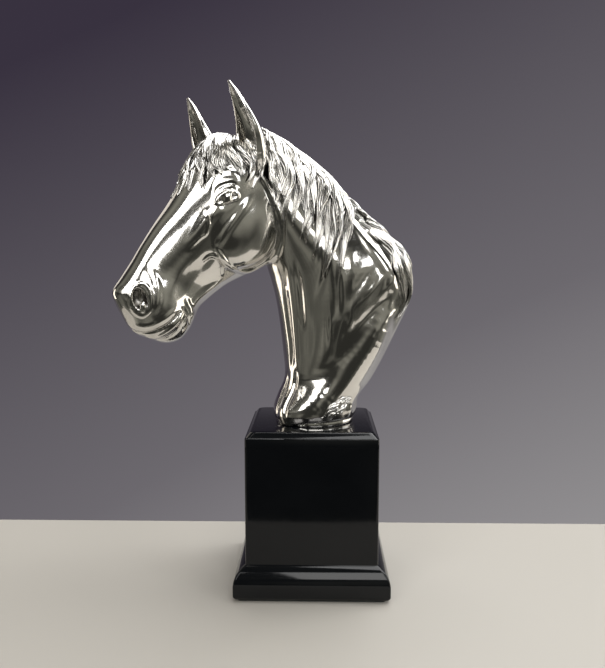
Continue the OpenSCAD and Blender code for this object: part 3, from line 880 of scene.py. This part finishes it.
# ---------- Forelock ----------
# A fringe of wavy locks that starts between the ears and falls over the forehead, with a long lock
# swept back over each temple. It is cast in one piece, hair drawn along every lock, and brazed on.
def hair_lock(guide, width, strands, thick, lift, tip_lift, phase, wave):
    levels = 34
    path = spline(guide, 12)
    path = path[np.round(np.linspace(0, len(path) - 1, levels)).astype(int)]
    t = np.linspace(0, 1, levels)[:, None]
    raise_by = lift + tip_lift * t[:, 0] ** 3
    path = onto(path, raise_by, 8)
    ahead_of = np.gradient(path, axis=0)
    across = unit(np.cross(ahead_of, outward(path)))
    path = path + across * (wave * np.sin(2 * math.pi * (1.5 * t + phase)) * t ** 0.5)
    taper = np.clip(0.55 + 1.8 * t, 0, 1) * (1 - np.clip((t - 0.2) / 0.8, 0, 1) ** 2.2 * 0.95)
    u = np.linspace(-1, 1, strands * 6 + 1)[None]
    crown = np.sqrt(np.maximum(1 - u ** 2, 0))
    base = path[:, None] + across[:, None] * (u * taper * width / 2)[..., None]
    base = onto(base.reshape(-1, 3), np.repeat(raise_by, u.shape[1]), 5).reshape(base.shape)
    out = outward(base.reshape(-1, 3), 1.5).reshape(base.shape)
    drift = 0.4 * np.sin(2 * math.pi * (1.1 * t + phase * 2.0))
    drift = drift + 0.2 * np.sin(2 * math.pi * (2.3 * t + phase))
    ridges = np.abs(np.cos(math.pi * (u * strands / 2 + drift))) ** 0.7
    body = thick * np.clip(taper, 0.2, 1)
    top = base + out * (body * crown * (0.35 + 0.65 * ridges))[..., None]
    low = base - out * (0.5 * body * crown)[..., None]
    rings = np.concatenate([top, low[:, -2:0:-1]], 1)
    # Painted darker below and between: the underside of each lock is fully dark as painted shade, and the
    # gaps between strands and the lock's edges get oxide and painted shade
    oxide_and_shade = np.ones(rings.shape[:2])
    oxide_and_shade[:, :u.shape[1]] = np.clip(1.1 - 1.5 * ridges, 0, 1) + 0.4 * (1 - crown)
    return rings, oxide_and_shade


# The locks of one piece start evenly along the guides, and gather into clumps toward the tips.
# A layer is (locks, width, strands, thickness, lift, tip lift, shortest share, wave, gathering).
def hair_piece(name, guides, layers, seed):
    draw = np.random.default_rng(seed)
    points, faces, oxide_and_shade_marks = [], [], []
    guides = np.asarray(guides, float)
    for count, width, strands, thick, lift, tip_lift, shortest, wave, gather in layers:
        for i in range(count):
            place = (i + 0.5 + draw.uniform(-0.3, 0.3)) / count * (len(guides) - 1)
            along = np.linspace(0, 1, guides.shape[1])
            places = place + (round(place) - place) * gather * along
            low = np.minimum(places.astype(int), len(guides) - 2)
            step = np.arange(guides.shape[1])
            between = guides[low + 1, step] - guides[low, step]
            guide = guides[low, step] + between * (places - low)[:, None]
            length = draw.uniform(shortest, 1.0)
            guide = spline(guide, 8)
            guide = guide[:max(int(len(guide) * length), 9)][::4]
            rings, oxide_and_shade = hair_lock(
                guide, width * draw.uniform(0.8, 1.2), strands, thick,
                lift + draw.uniform(-0.3, 0.3), tip_lift * draw.uniform(0.2, 1), draw.uniform(0, 1), wave,
            )
            ring_points, ring_faces = stacked_rings(rings)
            start = len(points)
            points += ring_points
            faces += [tuple(start + k for k in face) for face in ring_faces]
            oxide_and_shade_marks.append(oxide_and_shade.ravel())
    points = np.array(points)
    piece = new_mesh(name, points, faces)
    mark_oxide_and_shade(piece, np.concatenate(oxide_and_shade_marks) + shade_between_locks(points, faces))
    piece.data.materials.append(hair_silver)
    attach(piece, "root")
    return piece


# How deep each point lies between its neighbouring locks, darkened as painted shade there and as oxide that
# polishing never reaches
def shade_between_locks(points, faces):
    triangles = [(face[0], face[k], face[k + 1]) for face in faces for k in range(1, len(face) - 1)]
    grid = vdb.FloatGrid.createLevelSetFromPolygons(
        points.astype(np.float32),
        triangles=np.array(triangles, np.uint32),
        quads=np.zeros((0, 4), np.uint32),
        transform=vdb.createLinearTransform(CELL),
        halfWidth=REACH_CELLS / 2,
    )
    locks = np.zeros(BLOCK_CELLS, np.float32)
    grid.copyToArray(locks, ijk=tuple(int(v) for v in FIRST_CELL))
    hair_distance[:] = np.minimum(hair_distance, locks)
    part = cells_around(points.min(0) - 8, points.max(0) + 8)
    near = np.full(BLOCK_CELLS, REACH_CELLS * CELL, np.float32)
    near[part] = softened(np.minimum(clay[part], locks[part]), 2)
    return np.clip(-distance_at(near, points) / 0.5 - 0.3, 0, 1)


hair_distance = np.full(BLOCK_CELLS, REACH_CELLS * CELL, np.float32)
# The second colour is the dark oxide and painted shade between the strands and locks of hair
hair_silver = silver_material("silver_hair", (0.84, 0.82, 0.78), (0.020, 0.018, 0.015), 0.08)
FORELOCK = [
    [[20, 313, 8], [16, 306, 16], [14, 296, 21.5], [15, 283, 24], [25, 268, 26]],
    [[22, 314, 6], [25, 304, 16], [23, 293, 23], [22, 284, 25], [26, 275, 26]],
    [[25, 315, 4], [32, 305, 12], [31, 295, 20], [30, 287, 24], [29, 280, 26]],
    [[27, 315, 2], [38, 306, 7], [43, 294, 15], [44, 287, 20], [43, 280, 22]],
    [[28, 315, 0], [42, 307, 3], [50, 293, 9], [52, 281, 15], [53, 270, 19]],
    [[28, 315, -2], [44, 306, 0], [54, 291, 4], [58, 280, 8], [61, 269, 12]],
    [[27, 315, -4], [44, 306, -5], [55, 292, -2], [63, 277, 2], [69, 263, 6]],
    [[26, 315, -6], [43, 306, -9], [55, 292, -8], [65, 277, -6], [72, 263, -3]],
    [[24, 314, -8], [40, 305, -14], [52, 292, -15], [61, 278, -14], [67, 265, -12]],
    [[21, 313, -10], [34, 305, -19], [45, 292, -21], [52, 281, -21], [56, 270, -20]],
    [[18, 312, -12], [22, 304, -19], [27, 293, -23], [29, 285, -25], [30, 278, -26]],
    [[17, 312, -13], [16, 306, -16], [14, 296, -21.5], [13, 284, -23.5], [22, 268, -25]],
]
forelock = hair_piece(
    "forelock_hair", [in_head(guide) for guide in FORELOCK],
    [
        (14, 11, 6, 2.2, 0.0, 0.3, 0.85, 0.5, 0.3), (14, 6.5, 4, 2.2, 1.3, 0.8, 0.70, 1.4, 0.9),
        (13, 3.8, 2, 1.8, 2.7, 0.9, 0.55, 2.0, 0.7),
    ],
    11,
)
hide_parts("forelock")

# ---------- Mane ----------
# The mane parts along the crest and falls on both sides, one casting on each, brazed to the neck.
# Its locks run back along the crest, then turn down in long S curves and gather into points.
NEAR_MANE = [
    [[-36, -1, 318], [-31, -11, 306], [-28, -18, 291], [-27, -22, 275], [-25, -25, 254]],
    [[-33, 0, 317], [-25, -6, 303], [-20, -14, 289], [-18, -22, 270], [-18, -26, 246]],
    [[-28, 1, 315], [-16, -3, 298], [-10, -11, 285], [-11, -20, 265], [-13, -26, 238]],
    [[-24, 1, 313], [-10, -3, 296], [-3, -9, 283], [-4, -20, 259], [-8, -26, 228]],
    [[-20, 1, 311], [-2, -2, 290], [6, -8, 274], [2, -20, 249], [-3, -26, 216]],
    [[-14, 1, 307], [6, -2, 285], [16, -8, 265], [12, -20, 239], [5, -26, 196]],
    [[0, 1, 296], [14, -2, 278], [25, -7, 261], [22, -19, 239], [14, -26, 206]],
]
FAR_MANE = [
    [[-41, -3, 317], [-42, 12, 305], [-43, 18, 294], [-42, 22, 281], [-40, 24, 266]],
    [[-36, -3, 316], [-30, 15, 302], [-26, 20, 292], [-26, 24, 280], [-26, 25, 264]],
    [[-30, -3, 315], [-18, 12, 300], [-14, 18, 288], [-14, 24, 272], [-17, 26, 250]],
    [[-20, -3, 310], [-6, 12, 293], [-1, 19, 278], [-2, 25, 260], [-8, 27, 234]],
    [[-8, -3, 302], [6, 11, 284], [10, 19, 266], [9, 25, 246], [3, 27, 215]],
    [[6, -4, 290], [18, 10, 273], [22, 18, 257], [21, 24, 238], [15, 26, 206]],
    [[18, -4, 279], [29, 9, 263], [34, 16, 249], [35, 22, 232], [31, 24, 204]],
    [[30, -5, 268], [40, 8, 252], [46, 14, 240], [48, 18, 226], [46, 20, 206]],
    [[42, -5, 258], [50, 4, 247], [55, 10, 237], [58, 13, 226], [58, 14, 212]],
]
near_mane = hair_piece(
    "left_mane_hair", NEAR_MANE,
    [
        (11, 13, 6, 3.0, 0.0, 0.0, 0.80, 1.0, 0.6), (11, 8, 4, 3.2, 2.2, 1.0, 0.75, 2.0, 1.0),
        (11, 4.4, 2, 2.4, 4.4, 1.4, 0.60, 2.6, 0.9),
    ],
    23,
)
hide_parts("near_mane")
far_mane = hair_piece(
    "right_mane_hair", FAR_MANE,
    [
        (15, 13, 6, 3.0, 0.0, 0.0, 0.80, 1.0, 0.6), (16, 8, 4, 3.2, 2.2, 1.0, 0.75, 2.0, 1.0),
        (15, 4.4, 2, 2.4, 4.4, 1.4, 0.60, 2.6, 0.9),
    ],
    31,
)
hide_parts("far_mane")

# ---------- Withers and foot hair ----------
# Thick wavy hair runs on over the withers and down the back edge of the neck, and a tuft curls
# forward on each side of the foot. Both are worked on the casting before plating.
WITHERS = [
    [[40, y * 0.6, 250], [52, y * 0.9, 241], [63 - abs(y) * 0.35, y, 228], [68 - abs(y) * 0.5, y, 212],
     [66 - abs(y) * 0.5, y, 197], [57 - abs(y) * 0.5, y * 1.05, 180]]
    for y in (-14, -9, -4.5, 0, 4.5, 9, 14)
]
hair_piece(
    "withers_hair", WITHERS,
    [(8, 10, 5, 2.2, -0.6, 0.2, 0.75, 2.2, 0.5), (9, 6, 3, 2.2, 0.6, 0.4, 0.5, 2.8, 0.9)], 41,
)
for side in (1, -1):
    hair_piece(
        f"{'left' if side > 0 else 'right'}_foot_hair",
        [
            [[20, -21 * side, 135], [14, -23 * side, 130], [8, -25 * side, 125], [3, -27 * side, 118]],
            [[27, -17 * side, 133], [21, -20 * side, 127], [14, -23 * side, 122], [8, -25 * side, 117]],
        ],
        [(5, 5, 3, 1.6, -0.2, 0.2, 0.75, 1.0, 0.4), (3, 3, 2, 1.4, 0.8, 0.3, 0.6, 1.3, 0.6)], 53 + side,
    )

# The casting is painted darker where dark oxide stays that no polishing mop reaches and where shade falls:
# oxide and painted shade in its grooves, painted shadow under the edges of the hair and painted shade
# inside the nostrils
hair_shadow_reach = 3.0
nostril_reach = 8.5
depth_in_clay = distance_at(soft_clay, bust_points)
bust_oxide_and_shade = -depth_in_clay / 0.55 - 0.25
bust_oxide_and_shade += 0.65 * np.clip(1 - distance_at(hair_distance, bust_points) / hair_shadow_reach, 0, 1) ** 1.5
# Painted shade inside each nostril hole
for middle in nostril_holes:
    nearness = 1 - np.linalg.norm(bust_points - middle, axis=1) / nostril_reach
    bust_oxide_and_shade += np.clip(2.2 * nearness, 0, 1) * (depth_in_clay < 0.1)
mark_oxide_and_shade(bust, bust_oxide_and_shade)

# ---------- Table and lights ----------
# A plain table in a dim studio. The silver shows only what stands around it: two tall soft boxes
# over the camera, a broad one overhead, more on the right than on the left, and dark olive cloth.
table_spot = [(-420, -190), (420, -190), (420, 100), (-420, 100)]
table = new_mesh(
    "table",
    [(px, py, z) for z in (-30, 0) for px, py in table_spot],
    [(0, 3, 2, 1), (4, 5, 6, 7), (0, 1, 5, 4), (1, 2, 6, 5), (2, 3, 7, 6), (3, 0, 4, 7)],
    smooth=False,
)
table_paint, table_shader = plain_material("table_paint")
table_shader.inputs["Base Color"].default_value = (0.37, 0.35, 0.315, 1)
table_shader.inputs["Roughness"].default_value = 0.55
table.data.materials.append(table_paint)


# Every light faces the bust; its power is worked out from how bright its face should look
def soft_box(name, place, width, height, brightness, colour):
    data = bpy.data.lights.new(name, "AREA")
    data.shape = "RECTANGLE"
    data.size = width
    data.size_y = height
    data.energy = brightness * math.pi * width * height
    data.color = colour
    lamp = bpy.data.objects.new(name, data)
    lamp.location = place
    direction = np.array([0.0, 0.0, 0.24]) - np.array(place)
    lamp.rotation_euler = (
        math.acos(-direction[2] / np.linalg.norm(direction)), 0,
        math.atan2(direction[1], direction[0]) - math.pi / 2,
    )
    bpy.context.collection.objects.link(lamp)


soft_box("over_camera_right", (0.18, -1.00, 0.98), 0.56, 0.84, 4.9, (1.0, 0.99, 0.98))
soft_box("over_camera_left", (-0.55, -0.88, 0.92), 0.44, 0.78, 4.5, (1.0, 0.99, 0.97))
soft_box("overhead", (0.30, 0.25, 1.20), 1.2, 1.0, 5.2, (1.0, 1.0, 1.0))
soft_box("right_side", (1.00, 0.38, 0.78), 0.60, 0.60, 3.4, (0.96, 0.98, 1.0))
soft_box("right_front", (0.84, -0.60, 0.74), 0.28, 0.42, 4.0, (0.98, 0.99, 1.0))
soft_box("right_low", (1.05, 0.32, 0.28), 0.85, 0.62, 2.2, (1.0, 0.94, 0.84))
soft_box("left_side", (-1.20, 0.05, 0.22), 0.34, 0.95, 2.0, (1.0, 0.91, 0.78))
soft_box("left_back", (-0.80, 0.85, 0.75), 0.8, 0.7, 0.9, (1.0, 0.93, 0.82))

bpy.context.scene.view_settings.view_transform = "Standard"
world = bpy.data.worlds.new("studio")
world.use_nodes = True
bpy.context.scene.world = world
add, ramp, join = node_tools(world)
ways = add("ShaderNodeTexCoord")
split = add("ShaderNodeSeparateXYZ")
slope = add("ShaderNodeVectorMath", operation="DOT_PRODUCT")
slope.inputs[1].default_value = (0.42, 0.0, -0.85)
raised = add("ShaderNodeMath", operation="ADD")
raised.inputs[1].default_value = 0.34
backdrop = ramp((0.040, 0.032, 0.050), (0.40, 0.39, 0.39))
halfway = backdrop.color_ramp.elements.new(0.5)
halfway.color = (0.15, 0.14, 0.155, 1)
cloth_folds = add("ShaderNodeTexNoise", Scale=1.7, Detail=1.5, Roughness=0.5)
cloth = ramp((0.03, 0.03, 0.026), (0.25, 0.245, 0.21))
cloth.color_ramp.elements[0].position = 0.38
cloth.color_ramp.elements[1].position = 0.68
behind = add("ShaderNodeMapRange", **{"From Min": 0.15, "From Max": 0.55})
mix = add("ShaderNodeMix", data_type="RGBA")
join(
    (ways, "Generated", split, "Vector"),
    (ways, "Generated", slope, 0),
    (ways, "Generated", cloth_folds, "Vector"),
    (slope, "Value", raised, 0),
    (raised, "Value", backdrop, "Fac"),
    (cloth_folds, "Fac", cloth, "Fac"),
    (split, "Y", behind, "Value"),
    (behind, "Result", mix, "Factor"),
    (cloth, "Color", mix, "A"),
    (backdrop, "Color", mix, "B"),
    (mix, "Result", world.node_tree.nodes["Background"], "Color"),
)
